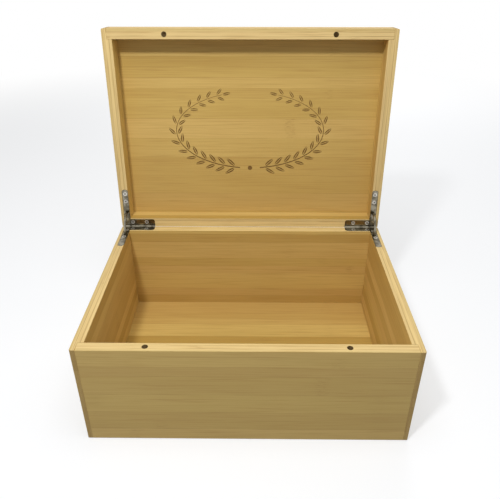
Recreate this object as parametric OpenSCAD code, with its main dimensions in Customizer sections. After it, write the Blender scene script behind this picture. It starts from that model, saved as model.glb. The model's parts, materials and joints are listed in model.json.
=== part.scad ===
// Keepsake box: a bamboo tray and a lid, joined by two L-shaped stay hinges, drawn with the lid open.
// Millimetres. X runs to the right, Y to the back and Z up, from the centre of the tray's underside.

/* [Box] */
// Width over the side walls
box_w = 280; // [240:1:330]
// Depth from the front face to the back face
box_d = 202; // [170:1:250]
// Height of the tray, from its underside to its rim
tray_h = 101.5; // [80:0.5:140]
// Height of the lid, from its rim to its top
lid_h = 24.5; // [24:0.5:40]
// Angle at which the stays stop the opening lid
open_angle = 95; // [85:1:96]

/* [Boards] */
// Thickness of the tray's walls and the lid's rails
wall_t = 9.5; // [9.5:0.1:13]
// Thickness of the lid's top panel
lid_panel_t = 5.5; // [4:0.1:6]
// Thickness of the tray's bottom panel
bottom_t = 5.5; // [3:0.1:8]
// Width of the rabbet that the bottom panel sits in
bottom_rabbet_w = 4.5; // [3:0.1:5]
// Width of the side board's lip outside each corner rabbet
corner_lip_t = 4.5; // [3:0.1:5.5]
// Radius of the eased outer arrises
arris_r = 1.2; // [0.4:0.1:2]

/* [Hinge leaves] */
// Thickness of a leaf's plate
leaf_t = 1.2; // [1:0.1:1.4]
// Distance from the box's side face to the leaf, whose mortise opens to the inside of the box
leaf_inset = 3.3; // [3:0.1:3.4]
// Length of the leg that lies along the back
back_leg_len = 32.5; // [32:0.5:40]
// Width of the leg that lies along the back
back_leg_w = 8; // [7:0.1:9]
// Length of the leg that lies along the side, from the back face
side_leg_len = 42; // [41:0.5:50]
// Width of the leg that lies along the side
side_leg_w = 6.1; // [6:0.1:6.2]
// Corner radius of both legs' free ends
leg_end_r = 2.5; // [1:0.1:2.9]
// Number of knuckles in a barrel, the odd ones on the tray
knuckles = 3; // [3:2:5]
// Distance from the back face to the hinge pin's centre line behind it
pin_behind = 0; // [0:0.1:1]
// Outer radius of the knuckles
barrel_r = 1.8; // [1.5:0.1:1.8]
// Radius of the hinge pin
pin_r = 0.8; // [0.6:0.1:0.9]

/* [Stays] */
// Distance from the hinge pin to the middle of the stay's strip
stay_r = 16.5; // [16.2:0.1:17]
// Thickness of the stay, along the pin
stay_t = 2; // [1.2:0.1:2.4]
// Width of the stay's strip
stay_w = 2.6; // [2:0.1:3]
// Width of the heads that stop under the leaves
stay_head_w = 4.4; // [4:0.1:4.6]
// Length of the heads
stay_head_len = 1.6; // [1:0.1:2]

/* [Screws] */
// Radius of a screw's shank
screw_r = 1; // [0.8:0.1:1.2]
// Radius of a screw's countersunk head
screw_head_r = 2.1; // [1.8:0.1:2.4]
// Length of a screw, head included
screw_len = 6.5; // [5:0.5:7]
// Distances of the back leg's screws from the box's side face
back_leg_screws = [12, 27];
// Distances of the tray leaf's side leg screws from the hinge pin
tray_side_screws = [8, 22.5];
// Distances of the lid leaf's side leg screws from the hinge pin
lid_side_screws = [29, 37.5];

/* [Magnets] */
// Radius of the disc magnets
magnet_r = 2.5; // [1.5:0.1:3]
// Height of the disc magnets
magnet_h = 3; // [2:0.5:6]
// Distance between the two magnets of a rim
magnet_spacing = 162; // [100:1:200]
// Distance from the front face to the magnets' centres
magnet_behind_front = 5; // [4:0.1:5.5]

/* [Clearances] */
// Gap between the two rims when the lid is closed
rim_gap = 0.3; // [0.2:0.05:0.6]
// Gap round a leaf in its mortise
mortise_gap = 0.3; // [0.1:0.05:0.5]
// Gap between neighbouring knuckles
knuckle_gap = 0.3; // [0.1:0.05:0.5]
// Radial gap between the pin and the knuckles' bores
pin_gap = 0.05; // [0.02:0.01:0.1]
// Gap round the stay in its slots and pockets
stay_gap = 0.4; // [0.3:0.05:0.5]
// Gap between a stay's head and the leaf at the stop
stop_gap = 0.3; // [0.2:0.05:0.5]
// Gap round a screw in the leaf's countersunk hole
screw_gap = 0.1; // [0.05:0.05:0.2]
// Radial gap round a screw in its pilot hole, and round a magnet
press_gap = 0.03; // [0.01:0.01:0.1]
// Gap round the edge of the bottom panel
panel_gap = 0.2; // [0.1:0.05:0.5]

/* [Hidden] */
$fn = 48;

LEFT = -1;
RIGHT = 1;
FRONT = -1;
BACK = 1;
// Overrun of a cut past the face that it starts from
cut = 1;
// Extra depth of a screw's pilot hole past its tip
pilot_extra = 0.5;
// Extra travel of a stay in its pocket past the closed position, in degrees
pocket_extra = 2;
// Directions of the crossed driver slots in a screw's head, in degrees
driver_slots = [45, 135];

bamboo = "burlywood";
end_bamboo = "tan";
nickel = "silver";
magnet_grey = "dimgray";

half_w = box_w / 2;
half_d = box_d / 2;
inner_x = half_w - wall_t;
inner_y = half_d - wall_t;
lip_x = half_w - corner_lip_t;
lid_rim_z = tray_h + rim_gap;
lid_top_z = lid_rim_z + lid_h;
rail_top_z = lid_top_z - lid_panel_t;
pin_y = half_d + pin_behind;
pin_z = tray_h + rim_gap / 2;
leaf_x = half_w - leaf_inset;
side_leg_x = leaf_x - side_leg_w / 2;
// Radius of the groove that the other leaf's knuckles turn in
groove_r = barrel_r + mortise_gap;
back_screw_y = (half_d - back_leg_w + pin_y - groove_r) / 2;
knuckle_pitch = (back_leg_len + knuckle_gap) / knuckles;
magnet_x = magnet_spacing / 2;
magnet_y = -half_d + magnet_behind_front;
head_h = leaf_t - screw_gap;
// Half of the angle that a stay spans, to the near and the far end of its heads
stay_neck_angle = open_angle / 2 + asin((leaf_t + rim_gap / 2 + stop_gap) / (stay_r - stay_head_w / 2));
stay_end_angle = stay_neck_angle + stay_head_len / stay_r * 180 / PI;

// Block between its low corner and its high corner
module block(low, high) {
  translate(low) cube(high - low);
}

// Section w by d about the origin, with its corners rounded to radius r
module rounded_section(w, d, r) {
  square([w - 2 * r, d], center = true);
  square([w, d - 2 * r], center = true);
  for (x = [-1, 1], y = [-1, 1])
    translate([x * (w / 2 - r), y * (d / 2 - r)]) circle(r);
}

// The box's outer form between two heights, with every arris rounded
module outer_form(low_z, high_z) {
  h = high_z - low_z;
  translate([0, 0, low_z]) intersection() {
    linear_extrude(h) rounded_section(box_w, box_d, arris_r);
    translate([0, half_d, h / 2]) rotate([90, 0, 0])
      linear_extrude(box_d) rounded_section(box_w, h, arris_r);
    translate([-half_w, 0, h / 2]) rotate([90, 0, 90])
      linear_extrude(box_w) rounded_section(box_d, h, arris_r);
  }
}

// The tray's and the lid's outer forms run past their rims, so the rims stay square and meet in a fine line
module tray_form() {
  outer_form(0, tray_h + 2 * arris_r);
}

module lid_form() {
  outer_form(lid_rim_z - 2 * arris_r, lid_top_z);
}

// Carries what is drawn closed to the open lid
module opened() {
  translate([0, pin_y, pin_z]) rotate([-open_angle, 0, 0]) translate([0, -pin_y, -pin_z]) children();
}

// Draws the lid's side of what is drawn for the tray's rim
module over_rim() {
  translate([0, 0, 2 * pin_z]) mirror([0, 0, 1]) children();
}

// Draws what is drawn for the right-hand side on either side
module on_side(side) {
  mirror([side == LEFT ? 1 : 0, 0, 0]) children();
}

// Cylinder along X between two places, on the hinge pin's line
module on_pin_line(low_x, high_x, r) {
  translate([low_x, pin_y, pin_z]) rotate([0, 90, 0]) cylinder(high_x - low_x, r, r);
}

// Piece of a flat ring about the pin's line, between two angles above the forward direction
module pin_arc(r, w, t, low_angle, high_angle) {
  translate([side_leg_x, pin_y, pin_z]) rotate([90, 0, -90]) rotate([0, 0, low_angle])
    rotate_extrude(angle = high_angle - low_angle) translate([r - w / 2, -t / 2]) square([w, t]);
}

// Leg along +X from the origin; its free end's far corner is rounded, and its near one where both is true
module leg_outline(len, w, r, both) {
  near_r = both ? r : 0;
  square([len - r, w]);
  translate([0, near_r]) square([len, w - r - near_r]);
  for (y = both ? [r, w - r] : [w - r])
    translate([len - r, y]) circle(r);
}

// Outline of a right-hand leaf from above, grown by a gap on all sides
module leaf_outline(gap) {
  translate([leaf_x + gap, half_d + gap]) rotate(180)
    leg_outline(back_leg_len + 2 * gap, back_leg_w + 2 * gap, leg_end_r + gap, false);
  translate([leaf_x - side_leg_w - gap, half_d + gap]) rotate(-90)
    leg_outline(side_leg_len + 2 * gap, side_leg_w + 2 * gap, leg_end_r + gap, true);
}

// Places children at each screw of a right-hand leaf, on the top face of the leaf
module at_leaf_screws(side_screws) {
  for (from_side = back_leg_screws)
    translate([half_w - from_side, back_screw_y, tray_h]) children();
  for (from_pin = side_screws)
    translate([side_leg_x, pin_y - from_pin, tray_h]) children();
}

// Countersunk form of a screw below its head's face, grown by a gap
module screw_form(gap, len) {
  translate([0, 0, -head_h - gap]) cylinder(head_h + gap, screw_r + gap, screw_head_r + gap);
  translate([0, 0, -len]) cylinder(len, screw_r + gap, screw_r + gap);
}

// What a right-hand hinge takes out of the tray's boards
module hinge_cuts(side_screws) {
  translate([0, 0, tray_h - leaf_t]) linear_extrude(leaf_t + cut) leaf_outline(mortise_gap);
  on_pin_line(leaf_x - back_leg_len - mortise_gap, leaf_x + mortise_gap, groove_r);
  pin_arc(stay_r, stay_head_w + 2 * stay_gap, stay_t + 2 * stay_gap, -stay_end_angle - pocket_extra, 0);
  at_leaf_screws(side_screws)
    translate([0, 0, -screw_len - pilot_extra])
      cylinder(screw_len + pilot_extra, screw_r + press_gap, screw_r + press_gap);
}

// Right-hand leaf for the tray's rim; from_knuckle is its first knuckle, counted from the outer end
module leaf(from_knuckle, side_screws) {
  difference() {
    union() {
      difference() {
        translate([0, 0, tray_h - leaf_t]) linear_extrude(leaf_t) leaf_outline(0);
        on_pin_line(leaf_x - back_leg_len - cut, leaf_x + cut, groove_r);
      }
      for (k = [from_knuckle : 2 : knuckles - 1]) {
        high_x = leaf_x - k * knuckle_pitch;
        low_x = high_x - knuckle_pitch + knuckle_gap;
        block([low_x, pin_y - groove_r - leaf_t, tray_h - leaf_t], [high_x, pin_y, tray_h]);
        on_pin_line(low_x, high_x, barrel_r);
      }
    }
    on_pin_line(leaf_x - back_leg_len - cut, leaf_x + cut, pin_r + pin_gap);
    block(
      [side_leg_x - stay_t / 2 - stay_gap, pin_y - stay_r - stay_w / 2 - stay_gap, tray_h - leaf_t - cut],
      [side_leg_x + stay_t / 2 + stay_gap, pin_y - stay_r + stay_w / 2 + stay_gap, tray_h + cut]
    );
    at_leaf_screws(side_screws) screw_form(screw_gap, leaf_t + cut);
  }
}

// Screws of a right-hand leaf, with crossed driver slots in their heads
module leaf_screws(side_screws) {
  slot_depth = head_h / 2;
  slot_w = screw_head_r / 4;
  slot_len = screw_head_r * 1.2;
  point_r = screw_r / 4;
  at_leaf_screws(side_screws) difference() {
    union() {
      translate([0, 0, -head_h]) cylinder(head_h, screw_r, screw_head_r);
      translate([0, 0, -screw_len + screw_r]) cylinder(screw_len - screw_r, screw_r, screw_r);
      translate([0, 0, -screw_len]) cylinder(screw_r, point_r, screw_r);
    }
    for (turn = driver_slots)
      rotate(turn) translate([-slot_len / 2, -slot_w / 2, -slot_depth])
        cube([slot_len, slot_w, slot_depth + cut]);
  }
}

// Right-hand stay at the open stop, halfway between the two rims
module stay() {
  translate([0, pin_y, pin_z]) rotate([-open_angle / 2, 0, 0]) translate([0, -pin_y, -pin_z]) {
    pin_arc(stay_r, stay_w, stay_t, -stay_end_angle, stay_end_angle);
    pin_arc(stay_r, stay_head_w, stay_t, -stay_end_angle, -stay_neck_angle);
    pin_arc(stay_r, stay_head_w, stay_t, stay_neck_angle, stay_end_angle);
  }
}

module hinge_pin() {
  on_pin_line(leaf_x - back_leg_len, leaf_x, pin_r);
}

// Magnet in the tray's rim on one side, grown by a gap
module magnet(side, gap) {
  translate([side * magnet_x, magnet_y, tray_h - magnet_h])
    cylinder(magnet_h + (gap > 0 ? cut : 0), magnet_r + gap, magnet_r + gap);
}

// The space that the bottom panel and its rabbet take out of the walls
module bottom_rabbet() {
  reach_x = inner_x + bottom_rabbet_w;
  reach_y = inner_y + bottom_rabbet_w;
  block([-reach_x, -reach_y, -cut], [reach_x, reach_y, bottom_t]);
}

// Board along the front or back, between the side boards' lips
module cross_board(end, low_z, high_z) {
  near = end == FRONT ? -half_d : inner_y;
  block([-lip_x, near, low_z], [lip_x, near + wall_t, high_z]);
}

// Board along one side, with a rabbet at each end for the boards that cross it
module side_board(side, low_z, high_z) {
  on_side(side) difference() {
    block([inner_x, -half_d, low_z], [half_w, half_d, high_z]);
    for (end = [FRONT, BACK])
      translate([0, end * (half_d - wall_t / 2 + cut / 2), 0])
        block([inner_x - cut, -(wall_t + cut) / 2, low_z - cut], [lip_x, (wall_t + cut) / 2, high_z + cut]);
  }
}

module tray_cross_wall(end) {
  difference() {
    intersection() {
      tray_form();
      cross_board(end, 0, tray_h);
    }
    bottom_rabbet();
    if (end == BACK) {
      for (side = [LEFT, RIGHT])
        on_side(side) hinge_cuts(tray_side_screws);
    } else {
      for (side = [LEFT, RIGHT])
        magnet(side, press_gap);
    }
  }
}

module tray_side_wall(side) {
  difference() {
    intersection() {
      tray_form();
      side_board(side, 0, tray_h);
    }
    bottom_rabbet();
    on_side(side) hinge_cuts(tray_side_screws);
  }
}

module lid_cross_rail(end) {
  difference() {
    intersection() {
      lid_form();
      cross_board(end, lid_rim_z, rail_top_z);
    }
    if (end == BACK) {
      for (side = [LEFT, RIGHT])
        on_side(side) over_rim() hinge_cuts(lid_side_screws);
    } else {
      for (side = [LEFT, RIGHT])
        over_rim() magnet(side, press_gap);
    }
  }
}

module lid_side_rail(side) {
  difference() {
    intersection() {
      lid_form();
      side_board(side, lid_rim_z, rail_top_z);
    }
    on_side(side) over_rim() hinge_cuts(lid_side_screws);
  }
}

module tray_front_wall() {
  color(bamboo) tray_cross_wall(FRONT);
}

module tray_back_wall() {
  color(bamboo) tray_cross_wall(BACK);
}

module tray_left_wall() {
  color(end_bamboo) tray_side_wall(LEFT);
}

module tray_right_wall() {
  color(end_bamboo) tray_side_wall(RIGHT);
}

module tray_bottom_panel() {
  reach_x = inner_x + bottom_rabbet_w - panel_gap;
  reach_y = inner_y + bottom_rabbet_w - panel_gap;
  color(bamboo) block([-reach_x, -reach_y, 0], [reach_x, reach_y, bottom_t]);
}

module lid_front_rail() {
  color(bamboo) opened() lid_cross_rail(FRONT);
}

module lid_back_rail() {
  color(bamboo) opened() lid_cross_rail(BACK);
}

module lid_left_rail() {
  color(end_bamboo) opened() lid_side_rail(LEFT);
}

module lid_right_rail() {
  color(end_bamboo) opened() lid_side_rail(RIGHT);
}

module lid_top_panel() {
  color(bamboo) opened() intersection() {
    lid_form();
    block([-half_w, -half_d, rail_top_z], [half_w, half_d, lid_top_z]);
  }
}

module tray_leaf(side) {
  color(nickel) on_side(side) leaf(0, tray_side_screws);
}

module lid_leaf(side) {
  color(nickel) opened() on_side(side) over_rim() leaf(1, lid_side_screws);
}

module pin_of(side) {
  color(nickel) on_side(side) hinge_pin();
}

module stay_of(side) {
  color(nickel) on_side(side) stay();
}

module tray_leaf_screws(side) {
  color(nickel) on_side(side) leaf_screws(tray_side_screws);
}

module lid_leaf_screws(side) {
  color(nickel) opened() on_side(side) over_rim() leaf_screws(lid_side_screws);
}

module tray_magnet(side) {
  color(magnet_grey) magnet(side, 0);
}

module lid_magnet(side) {
  color(magnet_grey) opened() over_rim() magnet(side, 0);
}

tray_front_wall();
tray_back_wall();
tray_left_wall();
tray_right_wall();
tray_bottom_panel();
lid_front_rail();
lid_back_rail();
lid_left_rail();
lid_right_rail();
lid_top_panel();
tray_leaf(LEFT);  // tray_leaf_left
tray_leaf(RIGHT);  // tray_leaf_right
lid_leaf(LEFT);  // lid_leaf_left
lid_leaf(RIGHT);  // lid_leaf_right
pin_of(LEFT);  // hinge_pin_left
pin_of(RIGHT);  // hinge_pin_right
stay_of(LEFT);  // stay_left
stay_of(RIGHT);  // stay_right
tray_leaf_screws(LEFT);  // tray_leaf_screws_left
tray_leaf_screws(RIGHT);  // tray_leaf_screws_right
lid_leaf_screws(LEFT);  // lid_leaf_screws_left
lid_leaf_screws(RIGHT);  // lid_leaf_screws_right
tray_magnet(LEFT);  // tray_magnet_left
tray_magnet(RIGHT);  // tray_magnet_right
lid_magnet(LEFT);  // lid_magnet_left
lid_magnet(RIGHT);  // lid_magnet_right
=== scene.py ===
import json
from math import atan2, cos, floor, pi, radians, sin

import bmesh
import bpy
from mathutils import Matrix, Vector


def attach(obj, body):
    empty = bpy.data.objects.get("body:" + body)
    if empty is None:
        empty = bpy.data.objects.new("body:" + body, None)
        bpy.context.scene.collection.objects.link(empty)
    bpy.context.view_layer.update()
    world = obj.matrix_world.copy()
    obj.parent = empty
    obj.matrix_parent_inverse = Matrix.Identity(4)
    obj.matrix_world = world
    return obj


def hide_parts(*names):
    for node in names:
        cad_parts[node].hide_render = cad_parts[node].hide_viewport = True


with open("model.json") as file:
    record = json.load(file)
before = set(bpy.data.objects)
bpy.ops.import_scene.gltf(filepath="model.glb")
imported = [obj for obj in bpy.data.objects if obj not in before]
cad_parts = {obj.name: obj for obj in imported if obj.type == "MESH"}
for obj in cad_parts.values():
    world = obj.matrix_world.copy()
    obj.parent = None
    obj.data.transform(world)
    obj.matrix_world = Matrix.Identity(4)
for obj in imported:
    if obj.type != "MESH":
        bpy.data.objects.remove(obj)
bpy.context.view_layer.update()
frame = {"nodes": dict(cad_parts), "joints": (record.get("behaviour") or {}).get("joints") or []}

# ---- The tray -------------------------------------------------------------------------------
# Four walls and a bottom of laminated bamboo board, glued up from flat sticks about 20 mm wide, in three
# plies. The walls meet in glued corner rabbets, the bottom lies in a rabbet round their lower edge, and
# everything is sanded, with the sharp edges just broken, under a thin satin varnish.

MM = 0.001
TRAY_BOARDS = ["tray_front_wall", "tray_back_wall", "tray_left_wall", "tray_right_wall", "tray_bottom_panel"]
STICK_W = 20.5  # mm, width of one bamboo stick on a board's face
INTERNODE = 235.0  # mm, length of a stick from one node of the cane to the next
PLY_JOINTS = (0.32, 0.7)  # where the glue lines lie, as shares of a board's thickness from its outer face
BROKEN_EDGE = 0.35 * MM
SEAM_EDGE = 0.04 * MM  # of the boards that the hinges join, where a wider one would let light through
SHORT_EDGE = 6.0 * MM  # edges up to this stay sharp, because easing would cross itself on a rabbet's thin leg
WELD_REACH = 0.002 * MM  # corners of a CAD mesh that lie nearer than this are one corner
SHARP_TURN = radians(50)  # between two faces, the least at an edge that is eased
CREASE_TURN = radians(20)  # the least at an edge that isn't shaded smoothly
FLAT_TURN = radians(0.5)  # the most between faces of one plane
WHOLE_STICKS = 0.55  # share of the sticks that aren't two narrow ones
GLUE_FADE = (0.08, 0.42)  # mm from a joint, where its glue line starts to fade and where it is gone
NODE_FADE = (1.5, 8.5)  # mm from a node, the same for its mark
NODE_WANDER = 9.0  # mm, the most that a mark bends to either side
GREY_FADE = (0.5, 3.0)  # mm below the outer face, where its grey starts to fade and where it is gone
PALE_STICK = (0.670, 0.480, 0.155, 1)
DEEP_STICK = (0.470, 0.305, 0.075, 1)
PINK_STICK = (0.620, 0.400, 0.145, 1)
PALE_EDGE = (0.830, 0.660, 0.340, 1)
GREY_PLY = (0.460, 0.355, 0.130, 1)
FIBRE_BROWN = (0.400, 0.225, 0.060, 1)
GLUE_BROWN = (0.270, 0.135, 0.035, 1)
NODE_BROWN = GLUE_BROWN
END_BROWN = (0.330, 0.225, 0.090, 1)
PORE_BROWN = (0.170, 0.105, 0.045, 1)

hinge = next(joint for joint in frame["joints"] if joint["name"] == "lid_hinge")
pin = Vector(hinge["pos_m"])
lid_opening = radians(hinge["range_deg"][1])
to_shut = Matrix.Translation(pin) @ Matrix.Rotation(lid_opening, 4, "X") @ Matrix.Translation(-pin)


class Wire:
    """A socket in a material's nodes. Sums and comparisons of wires and numbers add Math nodes."""

    def __init__(self, tree, socket=None):
        self.tree = tree
        self.socket = socket

    def node(self, kind, settings=None, inputs=None, output=None):
        """Adds a node, sets it up, then feeds its sockets, which are named by their identifiers."""
        made = self.tree.nodes.new(kind if "Node" in kind else "ShaderNode" + kind)
        for name, value in (settings or {}).items():
            setattr(made, name, value)
        for name, value in (inputs or {}).items():
            socket = next(s for s in made.inputs if s.identifier == name)
            if isinstance(value, Wire):
                self.tree.links.new(value.socket, socket)
            else:
                socket.default_value = value
        found = [s for s in made.outputs if s.identifier == output] or list(made.outputs)
        return Wire(self.tree, found[0])

    def maths(self, operation, *values):
        return self.node("Math", {"operation": operation}, dict(zip(("Value", "Value_001"), values)))

    def __add__(self, other):
        return self.maths("ADD", self, other)

    def __sub__(self, other):
        return self.maths("SUBTRACT", self, other)

    def __rsub__(self, other):
        return self.maths("SUBTRACT", other, self)

    def __mul__(self, other):
        return self.maths("MULTIPLY", self, other)

    def __truediv__(self, other):
        return self.maths("DIVIDE", self, other)

    def __gt__(self, other):
        return self.maths("GREATER_THAN", self, other)

    def __abs__(self):
        return self.maths("ABSOLUTE", self)

    def __floor__(self):
        return self.maths("FLOOR", self)

    __radd__ = __add__
    __rmul__ = __mul__

    def least(self, other):
        return self.maths("MINIMUM", self, other)

    def rise(self, low, high):
        """0 below low, 1 above high, smooth in between."""
        limits = {"Value": self, "From Min": low, "From Max": high}
        return self.node("MapRange", {"interpolation_type": "SMOOTHSTEP"}, limits)

    def split(self):
        """The three parts of a vector."""
        parts = self.node("SeparateXYZ", {}, {"Vector": self}).socket.node
        return [Wire(self.tree, socket) for socket in parts.outputs]

    def chance(self):
        """A value from 0 to 1 that jumps with each whole number of this wire."""
        return self.node("TexWhiteNoise", {"noise_dimensions": "1D"}, {"W": self}, "Value")

    def noise(self, x, y, z, detail=2.0, roughness=0.5):
        """Soft noise, about 0.5, at a place given by three values."""
        place = self.node("CombineXYZ", {}, {"X": x, "Y": y, "Z": z})
        grain = {"Vector": place, "Scale": 1.0, "Detail": detail, "Roughness": roughness}
        return self.node("TexNoise", {}, grain)

    def mix(self, first, second, share):
        """Two colours mixed."""
        colours = {"Factor_Float": share, "A_Color": first, "B_Color": second}
        return self.node("Mix", {"data_type": "RGBA"}, colours, "Result_Color")


def new_material(name):
    """An empty material and the wire that starts its nodes."""
    material = bpy.data.materials.new(name)
    material.use_nodes = True
    material.node_tree.nodes.clear()
    return material, Wire(material.node_tree)


def finish_material(material, shader):
    output = material.node_tree.nodes.new("ShaderNodeOutputMaterial")
    material.node_tree.links.new(shader.socket, output.inputs["Surface"])
    return material


def board_place(start, on_lid):
    """Place and normal in a board's own frame, in mm, as they are with the lid shut."""
    place = start.node("TexCoord", output="Object")
    normal = start.node("TexCoord", output="Normal")
    if on_lid:
        turn = {"rotation_type": "X_AXIS"}
        place = start.node("VectorRotate", turn, {"Vector": place, "Center": pin, "Angle": lid_opening})
        normal = start.node("VectorRotate", turn, {"Vector": normal, "Angle": lid_opening})
    place = start.node("VectorMath", {"operation": "SCALE"}, {"Vector": place, "Scale": 1 / MM})
    return place.split(), normal.split()


def bamboo(name, seed):
    """Bamboo for one CAD board: sticks run along its length, side by side over its width, in three plies."""
    on_lid = name.startswith("lid_")
    is_panel = name == "lid_top_panel"  # its sticks are better matched, and the nodes show more on it
    points = [v.co.copy() for v in frame["nodes"][name].data.vertices]
    points = [(to_shut @ p if on_lid else p) / MM for p in points]
    low = [min(p[axis] for p in points) for axis in range(3)]
    high = [max(p[axis] for p in points) for axis in range(3)]
    length, width, thickness = sorted(range(3), key=lambda axis: low[axis] - high[axis])
    ply_stack = high[thickness] - low[thickness]
    box_middle = (0, 0, pin.z / MM)[thickness]
    faces_up = low[thickness] + high[thickness] > 2 * box_middle
    skin = high[thickness] if faces_up else low[thickness]

    material, start = new_material(name + "_bamboo")
    place, normal = board_place(start, on_lid)
    along = place[length] + 1000 * seed
    across = place[width] - low[width]
    depth = abs(place[thickness] - skin)

    # The stick, counted over the width and through the plies; some sticks are two narrow ones
    number = across / STICK_W + 0.37 * seed
    stick = floor(number)
    within = number - stick
    is_pair = (stick * 1.7 + seed).chance() > WHOLE_STICKS
    half = is_pair * (within > 0.5)
    ply = (depth > PLY_JOINTS[0] * ply_stack) + (depth > PLY_JOINTS[1] * ply_stack)
    piece = stick * 2 + half + ply * 53 + 211 * seed
    tone = (piece + 0.5).chance()
    shift = (piece + 7.5).chance()

    # Glue lines between sticks and between plies
    to_joint = within.least(1 - within)
    to_joint = to_joint.least(abs(within - 0.5) + (1 - is_pair)) * STICK_W
    to_ply = abs(depth - PLY_JOINTS[0] * ply_stack).least(abs(depth - PLY_JOINTS[1] * ply_stack))
    glue = 1 - to_joint.least(to_ply).rise(*GLUE_FADE)
    worn = start.noise(along * 0.02, across * 0.05, depth * 0.3).rise(0.35, 0.6)

    # Fibres run with the stick; darker ones gather into thin broken streaks, wide ones and fine ones
    fibre = start.noise(along * 0.012, across * 1.5 + shift * 90, depth * 1.5, 4.0, 0.62)
    streak = start.noise(along * 0.014 + shift * 40, across * 0.55, depth * 0.55, 3.0, 0.55).rise(0.54, 0.72)
    hair = start.noise(along * 0.02 + shift * 70, across * 1.35, depth * 1.35, 2.0, 0.5).rise(0.52, 0.68)
    cloud = start.noise(along * 0.006, across * 0.03, depth * 0.2 + shift * 9)

    # Where a stick crosses a node of the cane: short soft dashes along the fibres, in a patch that drifts
    # over the stick, and on some sticks only. The nodes of neighbouring sticks lie near each other.
    drift = start.noise((stick * 2 + half) * 0.21, ply * 3.1, 5.3 * seed, 0.0)
    turns = along / INTERNODE + drift * 1.5 + shift * 0.05
    from_node = (turns - floor(turns) - 0.5) * INTERNODE
    wander = start.noise(along * 0.01, across * 0.04, depth * 0.2 + shift * 30)
    bend = wander * (2 * NODE_WANDER) - NODE_WANDER
    patch = 1 - abs(from_node + bend).rise(*NODE_FADE)
    dashes = start.noise(along * 0.14, across * 1.1 + shift * 50, depth * 1.1, 2.0, 0.6).rise(0.50, 0.70)
    strength = (piece + 11.3).chance().rise(0.35, 1.0) * (1.0 if is_panel else 0.6)
    knot = patch * (dashes * 0.52 + 0.04) * strength

    # End grain shows the cut fibres as dark pores; edges along the fibres are paler than the faces
    end_grain = abs(normal[length]).rise(0.6, 0.9)
    edge = abs(normal[width]).rise(0.6, 0.9)
    pore_field = {"Vector": start.node("CombineXYZ", {}, {"X": across, "Y": depth}), "Scale": 1.3}
    pores = start.node("TexVoronoi", {"voronoi_dimensions": "2D"}, pore_field, "Distance")
    pores = (1 - pores.rise(0.12, 0.34)) * end_grain

    step = tone * 0.5 + 0.12 if is_panel else tone.rise(0.1, 0.9) * 0.95
    colour = start.mix(PALE_STICK, DEEP_STICK, step + cloud.rise(0.35, 0.65) * 0.25)
    colour = start.mix(colour, PINK_STICK, (piece + 3.3).chance() * 0.5)
    colour = start.mix(colour, PALE_EDGE, edge * 0.55)
    colour = start.mix(colour, GREY_PLY, (1 - depth.rise(*GREY_FADE)) * 0.35)
    colour = start.mix(colour, FIBRE_BROWN, fibre.rise(0.40, 0.75) * 0.34)
    colour = start.mix(colour, FIBRE_BROWN, streak * 0.36)
    colour = start.mix(colour, FIBRE_BROWN, hair * 0.24)
    colour = start.mix(colour, GLUE_BROWN, glue * worn * (edge * 0.3 + 0.3))
    colour = start.mix(colour, NODE_BROWN, knot)
    colour = start.mix(colour, END_BROWN, end_grain * 0.55)
    colour = start.mix(colour, PORE_BROWN, pores * 0.4)

    height = fibre * 0.6 - streak * 0.3 - hair * 0.2 - glue * 0.5 - knot * 0.2 - pores * 0.8
    bump = start.node("Bump", {}, {"Strength": 0.3, "Distance": 0.1 * MM, "Height": height})
    varnish = {"Base Color": colour, "Roughness": 0.44 + fibre * 0.14 + end_grain * 0.1, "Normal": bump}
    varnish["Specular IOR Level"] = 0.28
    return finish_material(material, start.node("BsdfPrincipled", {}, varnish))


def geometry_group(name, build):
    """A Geometry Nodes group that passes a mesh on; build gets the start and the mesh, and gives the mesh."""
    group = bpy.data.node_groups.new(name, "GeometryNodeTree")
    for way in ("INPUT", "OUTPUT"):
        group.interface.new_socket("Mesh", in_out=way, socket_type="NodeSocketGeometry")
    mesh = Wire(group).node("NodeGroupInput")
    result = group.nodes.new("NodeGroupOutput")
    group.links.new(build(mesh).socket, result.inputs[0])
    return group


def mark_long_edges(mesh):
    """Gives each long, sharp outer edge a bevel weight, and drops the normals that came with the mesh."""
    bare = mesh.node("GeometryNodeRemoveAttribute", {}, {"Geometry": mesh, "Name": "custom_normal"})
    ends = mesh.node("GeometryNodeInputMeshEdgeVertices").socket.node.outputs
    places = {"Vector": Wire(mesh.tree, ends["Position 1"])}
    places["Vector_001"] = Wire(mesh.tree, ends["Position 2"])
    length = mesh.node("VectorMath", {"operation": "DISTANCE"}, places, "Value")
    angle = mesh.node("GeometryNodeInputMeshEdgeAngle", output="Signed Angle")
    weight = (length > SHORT_EDGE) * (angle > SHARP_TURN)
    stored = {"Geometry": bare, "Name": "bevel_weight_edge", "Value": weight}
    return mesh.node("GeometryNodeStoreNamedAttribute", {"domain": "EDGE", "data_type": "FLOAT"}, stored)


def smooth_curved_faces(mesh):
    """Shades round faces smoothly and leaves every real edge crisp."""
    faces = {"Geometry": mesh, "Shade Smooth": True}
    smooth = mesh.node("GeometryNodeSetShadeSmooth", {"domain": "FACE"}, faces)
    angle = mesh.node("GeometryNodeInputMeshEdgeAngle", output="Unsigned Angle")
    edges = {"Geometry": smooth, "Shade Smooth": 1 - (angle > CREASE_TURN)}
    return mesh.node("GeometryNodeSetShadeSmooth", {"domain": "EDGE"}, edges)


long_edges = geometry_group("long_edges", mark_long_edges)
curved_faces = geometry_group("curved_faces", smooth_curved_faces)


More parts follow.
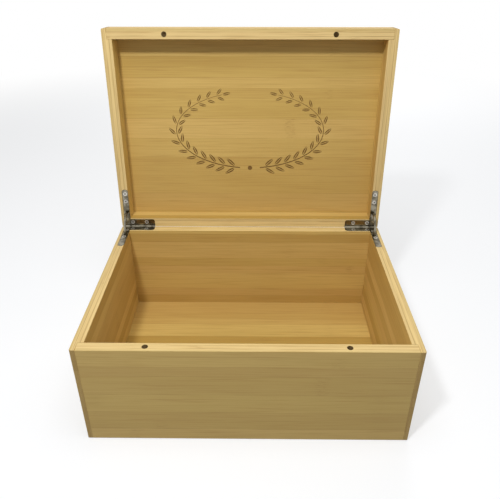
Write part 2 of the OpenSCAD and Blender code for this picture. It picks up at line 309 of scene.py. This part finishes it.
def ease_edges(piece, width, segments=2):
    """Breaks the long sharp edges of a piece, with its own vertices left as they are."""
    weld = piece.modifiers.new("weld", "WELD")
    weld.merge_threshold = WELD_REACH
    planes = piece.modifiers.new("whole_planes", "DECIMATE")
    planes.decimate_type = "DISSOLVE"
    planes.angle_limit = FLAT_TURN
    piece.modifiers.new("long_edges", "NODES").node_group = long_edges
    bevel = piece.modifiers.new("broken_edges", "BEVEL")
    bevel.width = width
    bevel.segments = segments
    bevel.limit_method = "WEIGHT"
    bevel.use_clamp_overlap = False
    piece.modifiers.new("shading", "NODES").node_group = curved_faces


def dress(piece, material):
    piece.data.materials.clear()
    piece.data.materials.append(material)


def dress_boards(boards, first_seed):
    for seed, board in enumerate(boards, start=first_seed):
        dress(frame["nodes"][board], bamboo(board, seed))
        ease_edges(frame["nodes"][board], SEAM_EDGE if "back" in board else BROKEN_EDGE)


dress_boards(TRAY_BOARDS, 1)

# ---- The lid --------------------------------------------------------------------------------
# A low frame of four rails, rabbeted and glued like the tray's walls, under a thin panel that covers it
# from edge to edge. The panel is engraved by laser: a rosette and two sprays on top, a wreath inside.

LID_RAILS = ["lid_front_rail", "lid_back_rail", "lid_left_rail", "lid_right_rail"]
ENGRAVED_DEPTH = 0.4  # mm
CUTTER_RISE = 1.0  # mm that the engraved volume stands out of the panel
# The dark and the pale of a burn, which is weaker inside
SCORCHES = {"top": ((0.085, 0.042, 0.018, 1), (0.150, 0.080, 0.036, 1)),
            "inside": ((0.200, 0.110, 0.034, 1), (0.270, 0.160, 0.055, 1))}
RIB_GAP = 0.35  # mm, half of the wood left standing along a leaf's midrib
LEAF_GAP = 0.5  # mm more than that between a stem and the foot of a leaf
TIP_GAP = 0.8  # mm between a stem's end and the leaf at its tip
TIP_LEAF = 0.7  # that leaf's size, as a share of the full one
STEM_TAPER = 0.7  # share of its width that a stem loses towards its tip
LEAF_TAPER = 0.35  # share of their size that its leaves lose

dress_boards(LID_RAILS, len(TRAY_BOARDS) + 1)


def leaf(base, heading, length, width, curl=0.0):
    """Outlines of a pointed leaf's two halves, either side of its midrib, in mm."""
    steps = 12
    halves = []
    for side in (-1, 1):
        outer = []
        rib = []
        for i in range(steps + 1):
            t = i / steps
            swell = width / 2 * sin(pi * t ** 0.85) ** 0.9 if 0 < t < 1 else 0
            bend = curl * length * t * t
            for line, offset in ((outer, RIB_GAP + swell), (rib, RIB_GAP)):
                x, y = length * t, bend + side * offset
                line.append((base[0] + x * cos(heading) - y * sin(heading),
                             base[1] + x * sin(heading) + y * cos(heading)))
        halves.append(outer + rib[-2:0:-1])
    return halves


def disc(centre, radius):
    steps = 20
    return [(centre[0] + radius * cos(2 * pi * i / steps), centre[1] + radius * sin(2 * pi * i / steps))
            for i in range(steps)]


def even_places(path, count):
    """Middles of equal stretches of path(t), as values of t, and the path's whole length."""
    steps = 200
    marks = [Vector(path(i / steps)) for i in range(steps + 1)]
    reached = [0.0]
    for i in range(steps):
        reached.append(reached[-1] + (marks[i + 1] - marks[i]).length)
    wanted = [(k + 0.5) / count * reached[-1] for k in range(count)]
    return [sum(r < w for r in reached) / steps for w in wanted], reached[-1]


def spray(path, stem_w, stations, leaf_length, leaf_width, lean, curl):
    """Outlines of a tapering stem along path(t), with a pair of leaves at each station and one at its tip."""
    def heading(t):
        (x0, y0), (x1, y1) = path(t - 0.005), path(t + 0.005)
        return atan2(y1 - y0, x1 - x0)

    steps = 48
    sides = ([], [])
    for i in range(steps + 1):
        t = i / steps
        x, y = path(t)
        for line, side in zip(sides, (-1, 1)):
            reach = side * stem_w / 2 * (1 - STEM_TAPER * t)
            line.append((x - reach * sin(heading(t)), y + reach * cos(heading(t))))
    outlines = [sides[0] + sides[1][::-1]]
    places, length = even_places(path, stations)
    for t in places:
        x, y = path(t)
        size = 1 - LEAF_TAPER * t
        for side in (-1, 1):
            gap = stem_w / 2 + RIB_GAP + LEAF_GAP
            base = (x - side * gap * sin(heading(t)), y + side * gap * cos(heading(t)))
            turn = heading(t) + side * lean
            outlines += leaf(base, turn, leaf_length * size, leaf_width * size, -side * curl)
    tip = path(1 + TIP_GAP / length)
    return outlines + leaf(tip, heading(1), leaf_length * TIP_LEAF, leaf_width * TIP_LEAF)


def top_ornament():
    """A rosette between two laurel sprays, about 177 mm wide."""
    petals = 8
    half_step = pi / petals
    petal_foot = 5.0
    dot_ring = 17.5
    stem_foot = 23
    stem_length = 46
    stem_rise = 1.5
    outlines = [disc((0, 0), 3.0)]
    for k in range(petals):
        turn = k * 2 * half_step + half_step
        outlines += leaf((petal_foot * cos(turn), petal_foot * sin(turn)), turn, 15.0, 6.2)
        between = turn + half_step
        outlines.append(disc((dot_ring * cos(between), dot_ring * sin(between)), 1.5))
    for side in (-1, 1):
        def path(t):
            return side * (stem_foot + stem_length * t), stem_rise * sin(pi * t)
        outlines += spray(path, 2.6, 4, 27.0, 8.2, radians(50), 0.05)
    return outlines


def inside_ornament():
    """An open oval wreath of two laurel branches, about 170 mm by 90 mm."""
    half_width = 77
    half_height = 40
    outlines = [disc((0, -half_height), 2.4)]
    for side in (-1, 1):
        def path(t):
            turn = -pi / 2 + side * (radians(8) + radians(150) * t)
            return half_width * cos(turn), half_height * sin(turn)
        outlines += spray(path, 1.2, 14, 11.5, 3.0, radians(38), 0.02)
    return outlines


def engraver(outlines, to_panel):
    """The engraved volume of an ornament; to_panel carries a point in its plane and a height to the lid."""
    form = bmesh.new()
    for outline in outlines:
        heights = (-ENGRAVED_DEPTH, CUTTER_RISE)
        layers = [[form.verts.new(to_panel(x, y, h)) for x, y in outline] for h in heights]
        form.faces.new(layers[0])
        form.faces.new(layers[1][::-1])
        for i in range(len(outline)):
            j = (i + 1) % len(outline)
            form.faces.new((layers[0][i], layers[0][j], layers[1][j], layers[1][i]))
    bmesh.ops.recalc_face_normals(form, faces=form.faces)
    mesh = bpy.data.meshes.new("engraver")
    form.to_mesh(mesh)
    form.free()
    return mesh


def scorched(face):
    """Laser-burnt bamboo: brown, with the fine lines of the laser's passes."""
    material, start = new_material("scorched_bamboo_" + face)
    (x, y, z), _ = board_place(start, True)
    burn = start.noise(x * 0.15, y * 0.9, z, 3.0, 0.6)
    dark, pale = SCORCHES[face]
    colour = start.mix(dark, pale, burn.rise(0.4, 0.7))
    passes = start.noise(x * 0.02, y * 4.0, z * 0.1, 1.0)
    bump = start.node("Bump", {}, {"Strength": 0.4, "Distance": 0.15 * MM, "Height": passes})
    soot = {"Base Color": colour, "Roughness": 0.7 + burn * 0.2, "Normal": bump, "Specular IOR Level": 0.2}
    return finish_material(material, start.node("BsdfPrincipled", {}, soot))


def engraved_panel():
    """The CAD panel with both ornaments cut into it, in place of the plain one."""
    plain = frame["nodes"]["lid_top_panel"]
    form = bmesh.new()
    form.from_mesh(plain.data)
    bmesh.ops.remove_doubles(form, verts=form.verts, dist=WELD_REACH)
    bmesh.ops.transform(form, matrix=to_shut, verts=form.verts)
    low_z = min(v.co.z for v in form.verts) / MM
    high_z = max(v.co.z for v in form.verts) / MM
    mesh = bpy.data.meshes.new("lid_top_panel_engraved")
    form.to_mesh(mesh)
    form.free()
    panel = bpy.data.objects.new("lid_top_panel_engraved", mesh)
    bpy.context.scene.collection.objects.link(panel)
    seed = len(TRAY_BOARDS) + len(LID_RAILS) + 1
    materials = [bamboo("lid_top_panel", seed), scorched("top"), scorched("inside")]
    for material in materials:
        mesh.materials.append(material)

    def above(x, y, h):
        return Vector((x, y, high_z + h)) * MM

    def below(x, y, h):
        return Vector((x, -y, low_z - h)) * MM

    for burnt, outlines, to_panel in ((1, top_ornament(), above), (2, inside_ornament(), below)):
        cutter = bpy.data.objects.new("cutter", engraver(outlines, to_panel))
        for material in materials:
            cutter.data.materials.append(material)
        for face in cutter.data.polygons:
            face.material_index = burnt
        bpy.context.scene.collection.objects.link(cutter)
        cut = panel.modifiers.new("engraving", "BOOLEAN")
        cut.operation = "DIFFERENCE"
        cut.solver = "EXACT"
        cut.use_self = True
        cut.object = cutter
        evaluated = panel.evaluated_get(bpy.context.evaluated_depsgraph_get())
        carved = bpy.data.meshes.new_from_object(evaluated)
        panel.modifiers.clear()
        panel.data = carved
        bpy.data.objects.remove(cutter)
    panel.data.transform(to_shut.inverted())
    panel.data.shade_flat()
    return panel


panel = engraved_panel()
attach(panel, "lid")
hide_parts("lid_top_panel")

# ---- The hinges -----------------------------------------------------------------------------
# Two L-shaped steel hinges, stamped and bright nickel plated, let into both rims flush with the wood. Their
# knuckles are rolled round a steel pin, and curved stays slide through slots in the leaves.

LEAVES = ["tray_leaf_left", "tray_leaf_right", "lid_leaf_left", "lid_leaf_right"]
SCREWS = ["tray_leaf_screws_left", "tray_leaf_screws_right", "lid_leaf_screws_left", "lid_leaf_screws_right"]
STAYS = ["stay_left", "stay_right"]
PINS = ["hinge_pin_left", "hinge_pin_right"]
NICKEL = (0.310, 0.282, 0.215, 1)
# Dull film on the nickel, dark enough that it also stands in as painted dark reflection
NICKEL_DULL_AND_DARK_REFLECTION = (0.095, 0.082, 0.055, 1)
SCREW_ZINC = (0.760, 0.740, 0.680, 1)
STEEL = (0.450, 0.435, 0.400, 1)
STEEL_DULL = (0.240, 0.220, 0.180, 1)
# Painted shade, with some grime, for the metal that lies in recesses below a rim
RECESS_SHADE_GRIME = (0.022, 0.017, 0.010, 1)
BARREL_REACH = 2.6  # mm from the pin's line, within which everything is the barrel
SUNK_SHADE_FADE = (0.22, 0.45)  # mm from the seam, where the painted recess shade and grime on a leaf begin and where they are full
STAMPED_EDGE = 0.12 * MM
SCREW_EDGE = 0.04 * MM
PIN_EDGE = 0.08 * MM


def metal(name, bright, dull, roughness, body=None):
    """Plated or drawn metal with a dull film in places, on the nickel also painted dark reflection. On a
    body, what lies below its rim gets painted recess shade and grime.
    """
    material, start = new_material(name)
    (x, y, z), _ = board_place(start, body == "lid")
    film = start.noise(x * 0.16, y * 0.16, z * 0.16, 2.0, 0.5).rise(0.42, 0.62)
    marks = start.noise(x * 1.5, y * 0.4, z * 1.5, 2.0, 0.6)
    # Dull film in patches; on the nickel it is also painted dark reflection
    colour = start.mix(bright, dull, film * 0.75)
    if body:
        # Painted recess shade, with some grime, on the metal below the rim, away from the barrel
        sunk_shade = abs(z - pin.z / MM).rise(*SUNK_SHADE_FADE) * ((pin.y / MM - y) > BARREL_REACH)
        colour = start.mix(colour, RECESS_SHADE_GRIME, sunk_shade * 0.9)
    bump = start.node("Bump", {}, {"Strength": 0.05, "Distance": 0.01 * MM, "Height": marks})
    plate = {"Base Color": colour, "Metallic": 1.0, "Normal": bump}
    plate["Roughness"] = roughness + film * 0.06 + marks * 0.04
    return finish_material(material, start.node("BsdfPrincipled", {}, plate))


def fit_metal(names, material, edge_width):
    for name in names:
        dress(frame["nodes"][name], material)
        ease_edges(frame["nodes"][name], edge_width, 1)


for body in ("tray", "lid"):
    leaf_metal = metal("bright_nickel_" + body, NICKEL, NICKEL_DULL_AND_DARK_REFLECTION, 0.16, body)
    screw_metal = metal("screw_zinc_" + body, SCREW_ZINC, STEEL, 0.42, body)
    fit_metal([name for name in LEAVES if name.startswith(body)], leaf_metal, STAMPED_EDGE)
    fit_metal([name for name in SCREWS if name.startswith(body)], screw_metal, SCREW_EDGE)
fit_metal(STAYS, metal("bright_nickel_stay", NICKEL, NICKEL_DULL_AND_DARK_REFLECTION, 0.2), STAMPED_EDGE)
fit_metal(PINS, metal("drawn_steel", STEEL, STEEL_DULL, 0.3), PIN_EDGE)

# ---- The magnets ----------------------------------------------------------------------------
# Four small pressed disc magnets with a dark plating, glued into drilled pockets so that two in the tray's
# front rim meet two in the lid's.

MAGNETS = ["tray_magnet_left", "tray_magnet_right", "lid_magnet_left", "lid_magnet_right"]
MAGNET_DARK = (0.060, 0.036, 0.014, 1)
MAGNET_WORN = (0.140, 0.095, 0.045, 1)
MAGNET_EDGE = 0.15 * MM

fit_metal(MAGNETS, metal("dark_plated_magnet", MAGNET_DARK, MAGNET_WORN, 0.45), MAGNET_EDGE)

# ---- The floor ------------------------------------------------------------------------------
# A plain white floor that fades into the white around it and keeps a soft shadow under the box. Only what
# the camera or a mirror sees of it is that bright, so it throws no more light on the box than a pale table.

FLOOR_RADIUS = 9.0  # m
FLOOR_SIDES = 96
FLOOR_DROP = 0.2 * MM
FLOOR_FADE = (0.5, 2.0)  # square of the distance in m, where the floor starts to turn white and where it is
SHADOW_SHARE = 0.48  # how much of the shadow shows
FLOOR_WHITE = (0.94, 0.96, 0.99, 1)
FLOOR_PALE = (0.48, 0.48, 0.48, 1)


def seen_directly(start):
    """1 for what the camera, a mirror or glass sees, 0 for light that reaches a dull surface."""
    def ray(kind):
        return start.node("LightPath", output=kind)
    return (ray("Is Camera Ray") + ray("Is Glossy Ray") + ray("Is Transmission Ray")).least(1.0)


def white_floor():
    material, start = new_material("white_floor")
    x, y, _ = start.node("TexCoord", output="Object").split()
    far = (x * x + y * y).rise(*FLOOR_FADE)
    shaded = start.node("BsdfDiffuse", {}, {"Color": FLOOR_WHITE})
    white = start.node("Emission", {}, {"Color": (1, 1, 1, 1), "Strength": 1.0})
    share = 1 - (1 - far) * SHADOW_SHARE
    shown = start.node("MixShader", {}, {"Fac": share, "Shader": shaded, "Shader_001": white})
    table = start.node("BsdfDiffuse", {}, {"Color": FLOOR_PALE})
    both = start.node("MixShader", {}, {"Fac": seen_directly(start), "Shader": table, "Shader_001": shown})
    return finish_material(material, both)


form = bmesh.new()
bmesh.ops.create_circle(form, cap_ends=True, radius=FLOOR_RADIUS, segments=FLOOR_SIDES)
floor_mesh = bpy.data.meshes.new("floor")
form.to_mesh(floor_mesh)
form.free()
floor_mesh.materials.append(white_floor())
floor_disc = bpy.data.objects.new("floor", floor_mesh)
floor_disc.location.z = -FLOOR_DROP
bpy.context.scene.collection.objects.link(floor_disc)

# ---- The light ------------------------------------------------------------------------------
# A small lamp high in front and to the left, which draws the rails' shadows on the lid's panel. A large soft
# one over the tray, weak ones behind and to both sides, and an even pale room fill the rest.

ROOM_LEVEL = 0.25


def lamp(name, place, aim, size, level):
    """A square soft lamp; level is how bright white paper at the aim, facing it, comes out."""
    light = bpy.data.lights.new(name, "AREA")
    light.size = size
    to_lamp = Vector(place) - Vector(aim)
    light.energy = level * (pi * to_lamp.length) ** 2
    made = bpy.data.objects.new(name, light)
    made.location = place
    made.rotation_mode = "QUATERNION"
    made.rotation_quaternion = to_lamp.to_track_quat("Z", "Y")
    made.visible_glossy = False
    bpy.context.scene.collection.objects.link(made)


lamp("key_lamp", (-0.20, -0.42, 0.78), (0.0, 0.05, 0.15), 0.07, 0.56)
lamp("soft_lamp", (0.0, -0.16, 0.80), (0.0, 0.02, 0.10), 0.42, 0.38)
lamp("back_lamp", (0.25, 1.30, 0.70), (0.0, 0.12, 0.15), 0.80, 0.45)
lamp("left_lamp", (-1.20, -0.10, 0.50), (-0.14, 0.0, 0.08), 0.70, 0.09)
lamp("right_lamp", (1.20, -0.10, 0.50), (0.14, 0.0, 0.08), 0.70, 0.18)

world = bpy.data.worlds.new("pale_room")
world.use_nodes = True
world.node_tree.nodes.clear()
start = Wire(world.node_tree)
level = seen_directly(start) * (1 - ROOM_LEVEL) + ROOM_LEVEL
room = start.node("Background", {}, {"Color": (1, 1, 1, 1), "Strength": level})
world_output = world.node_tree.nodes.new("ShaderNodeOutputWorld")
world.node_tree.links.new(room.socket, world_output.inputs["Surface"])
bpy.context.scene.world = world

# ---- The camera -----------------------------------------------------------------------------
# It stands where the open box was seen from: a little above it and close in front.

CAMERA_PLACE = Vector((0.0052, -0.4212, 0.3884))
CAMERA_AIM = Vector((0.0012, 0.0, 0.1335))
CAMERA_LENS = 39.0  # mm
NEAREST_SEEN = 0.01  # m

camera = bpy.data.objects.new("camera", bpy.data.cameras.new("camera"))
camera.data.lens = CAMERA_LENS
camera.location = CAMERA_PLACE
camera.rotation_mode = "QUATERNION"
camera.rotation_quaternion = (CAMERA_PLACE - CAMERA_AIM).to_track_quat("Z", "Y")
camera.data.clip_start = NEAREST_SEEN
bpy.context.scene.collection.objects.link(camera)
bpy.context.scene.camera = camera
bpy.context.scene.view_settings.view_transform = "Standard"
